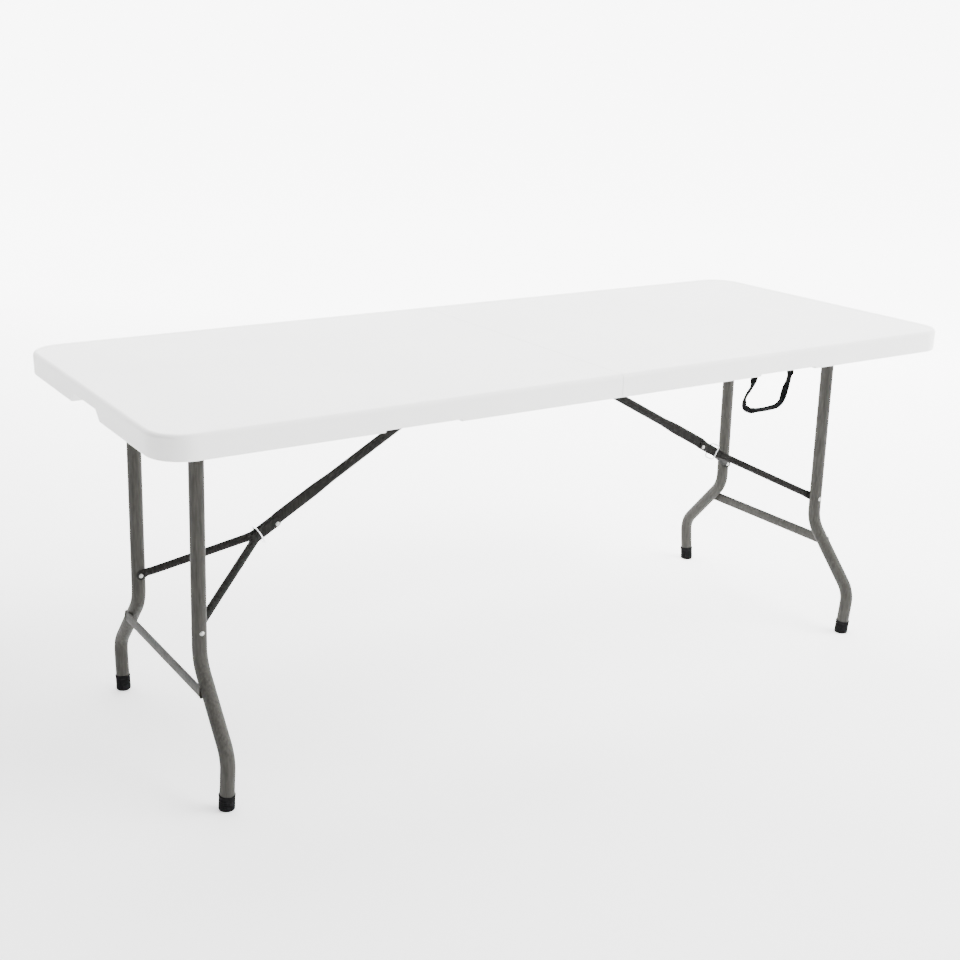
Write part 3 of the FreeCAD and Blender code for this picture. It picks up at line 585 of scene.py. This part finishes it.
def crossbar_welds():
    """A rippled weld where each end of the flattened bar meets its leg, and over the bar's end."""
    half_high, half_wide, bar_half, bead = 0.0115, 0.0029, 0.1995, 0.0014
    steps, ripples, ripple_depth, smoothings, bead_points = 96, 24, 0.04, 3, 10
    middle = LEG_PIVOT + LEG_DOWN * CROSSBAR_DOWN + LEG_OUTWARD * CROSSBAR_OUTWARD
    beads = []
    for side, sign in SIDES:
        leg = frame["nodes"][f"right_{side}_leg"].data
        tree = BVHTree.FromPolygons([vertex.co for vertex in leg.vertices],
                                    [tuple(face.vertices) for face in leg.polygons])
        line = []
        for step in range(steps):
            angle = 2 * math.pi * step / steps
            ripple = 1 + ripple_depth * math.sin(angle * ripples)
            start = middle + (LEG_DOWN * (math.sin(angle) * half_high)
                              + LEG_OUTWARD * (math.cos(angle) * half_wide)) * ripple
            hit = tree.ray_cast(start, BACK * sign)[0]
            reach = min(bar_half, abs(hit.y)) if hit else bar_half
            line.append(Vector((start.x, reach * sign, start.z)))
        for _ in range(smoothings):
            line = [(before + at * 2 + after) / 4 for before, at, after
                    in zip(line[-1:] + line[:-1], line, line[1:] + line[:1])]
        beads.append(loop_pipe(line, bead, bead_points))
    return joined(*beads)


def make_leg_details():
    for side, sign in SIDES:
        at_both_ends(f"{side}_ferrule", lambda: foot(sign), "leg_frame", "black_rubber",
                     [f"{side}_foot"])
    at_both_ends("crossbar_welds", crossbar_welds, "leg_frame", "grey_steel")


# ---------------------------------------------------------------- underside

PANEL_UNDER = 0.728
LANE_NEAR, LANE_FAR = 0.030, 0.318
LANE_START, LANE_END = 0.024, 0.884
LANE_STEP = 0.004
DIMPLE_PITCH, DIMPLE_RADIUS, DIMPLE_DEPTH = 0.030, 0.010, 0.0016
ROW_PITCH = DIMPLE_PITCH * 0.866
SKIN_LOW = PANEL_UNDER - 0.0018


def dimpled_height(x, y):
    """The skin's height at a place, between dimples in staggered rows."""
    row = round(y / ROW_PITCH)
    shift = DIMPLE_PITCH / 2 if row % 2 else 0.0
    centre_x = round((x - shift) / DIMPLE_PITCH) * DIMPLE_PITCH + shift
    away = math.hypot(x - centre_x, y - row * ROW_PITCH) / DIMPLE_RADIUS
    if away >= 1:
        return SKIN_LOW
    return SKIN_LOW + DIMPLE_DEPTH * (0.5 + 0.5 * math.cos(math.pi * away))


def dimpled_lane(near, far):
    """The panel's underside between two distances from the middle, as a closed, dented slab."""
    columns = round((LANE_END - LANE_START) / LANE_STEP)
    rows = round(abs(far - near) / LANE_STEP)
    vertices, faces = [], []
    for column in range(columns + 1):
        for row in range(rows + 1):
            x = LANE_START + (LANE_END - LANE_START) * column / columns
            y = near + (far - near) * row / rows
            edge = column in (0, columns) or row in (0, rows)
            vertices.append(Vector((x, y, SKIN_LOW if edge else dimpled_height(x, y))))
    across = rows + 1
    for column in range(columns):
        for row in range(rows):
            at = column * across + row
            faces.append((at, at + 1, at + across + 1, at + across))
    rim = list(range(across))
    rim += [column * across + rows for column in range(1, columns + 1)]
    rim += [columns * across + row for row in range(rows - 1, -1, -1)]
    rim += [column * across for column in range(columns - 1, 0, -1)]
    top = len(vertices)
    vertices += [Vector((vertices[index].x, vertices[index].y, PANEL_UNDER)) for index in rim]
    for number, index in enumerate(rim):
        following = (number + 1) % len(rim)
        faces.append((index, rim[following], top + following, top + number))
    faces.append(tuple(range(top, top + len(rim))))
    return vertices, faces


def both_lanes():
    return joined(dimpled_lane(LANE_NEAR, LANE_FAR), dimpled_lane(-LANE_FAR, -LANE_NEAR))


def make_underside():
    at_both_ends("underside_dimples", both_lanes, "half", "white_plastic")


# ---------------------------------------------------------------- stage and light

FLOOR_INNER, FLOOR_FLAT = 3.0, 7.0
CURVE_RADIUS = 5.0
CURVE_DEGREES = range(6, 91, 6)
WALL_TOP = 8.5
STAGE_STEPS = 96
FLOOR_LEVEL = 0.001
# The floor and wall glow as painted light, most towards the far side of the room, and their colour is painted
# darker away from that side as painted shade.
FAR_SIDE = (0.75, 0.66, 0.0)
WHITE = (1, 1, 1, 1)
WORLD_STRENGTH = 0.3


def make_stage():
    """A pale floor that curves up into a round wall, far from the table."""
    profile = [(FLOOR_INNER, 0.0), (FLOOR_FLAT, 0.0)]
    for degrees in CURVE_DEGREES:
        angle = math.radians(degrees)
        profile.append((FLOOR_FLAT + CURVE_RADIUS * math.sin(angle),
                        CURVE_RADIUS - CURVE_RADIUS * math.cos(angle)))
    profile.append((FLOOR_FLAT + CURVE_RADIUS, WALL_TOP))
    rings = [[Vector((radius * math.cos(2 * math.pi * step / STAGE_STEPS),
                      radius * math.sin(2 * math.pi * step / STAGE_STEPS), height))
              for step in range(STAGE_STEPS)] for radius, height in profile]
    floor = make_object("floor", *skin(rings, capped=False))
    edit = bmesh.new()
    edit.from_mesh(floor.data)
    inner = [edge for edge in edit.edges if edge.is_boundary and edge.verts[0].co.z < FLOOR_LEVEL]
    bmesh.ops.edgeloop_fill(edit, edges=inner)
    edit.to_mesh(floor.data)
    edit.free()
    g = Graph("floor_glow_and_painted_shade")
    behind = g.add("ShaderNodeVectorMath", {0: g.place(), 1: FAR_SIDE},
                   operation="DOT_PRODUCT").outputs["Value"]
    # Painted light: the whole stage glows, far more strongly towards the far side than the near side.
    glow = g.ranged(behind, low=-0.5, high=3.5, to_low=0.5, to_high=5.5)
    # Painted shade: the colour darkens away from the far side, with a faint random mottle added on top.
    shaded = g.ranged(behind, low=-9.0, high=0.0, to_low=0.0, to_high=0.9)
    mottle_and_painted_shade = g.math("ADD", shaded, g.math("MULTIPLY", g.noise(g.place(), scale=0.8), 0.06))
    g.surface(Base_Color=g.colours(mottle_and_painted_shade, (0.50, 0.50, 0.50), (0.87, 0.87, 0.87)),
              Roughness=0.85, Emission_Color=WHITE, Emission_Strength=glow)
    floor.data.materials.append(g.material)


def soft_box(name, place, target, size, power):
    """An area light at a place, aimed at a target."""
    data = bpy.data.lights.new(name, "AREA")
    data.shape = "RECTANGLE"
    data.size, data.size_y = size
    data.energy = power
    light = bpy.data.objects.new(name, data)
    bpy.context.scene.collection.objects.link(light)
    light.location = place
    light.rotation_euler = (Vector(target) - Vector(place)).to_track_quat("-Z", "Y").to_euler()


def make_light():
    world = bpy.data.worlds.new("studio")
    world.use_nodes = True
    sky = world.node_tree.nodes["Background"].inputs
    sky["Color"].default_value = WHITE
    sky["Strength"].default_value = WORLD_STRENGTH
    bpy.context.scene.world = world
    soft_box("key", place=(2.4, -2.2, 4.4), target=(0.2, 0, 0.5), size=(3.0, 3.0), power=640)
    soft_box("overhead", place=(0.2, 1.6, 4.2), target=(0, 0, 0.6), size=(3.5, 2.5), power=300)


# ---------------------------------------------------------------- the scene

make_camera()
make_strap()
dress_cad()
make_braces()
make_leg_details()
make_underside()
make_stage()
make_light()
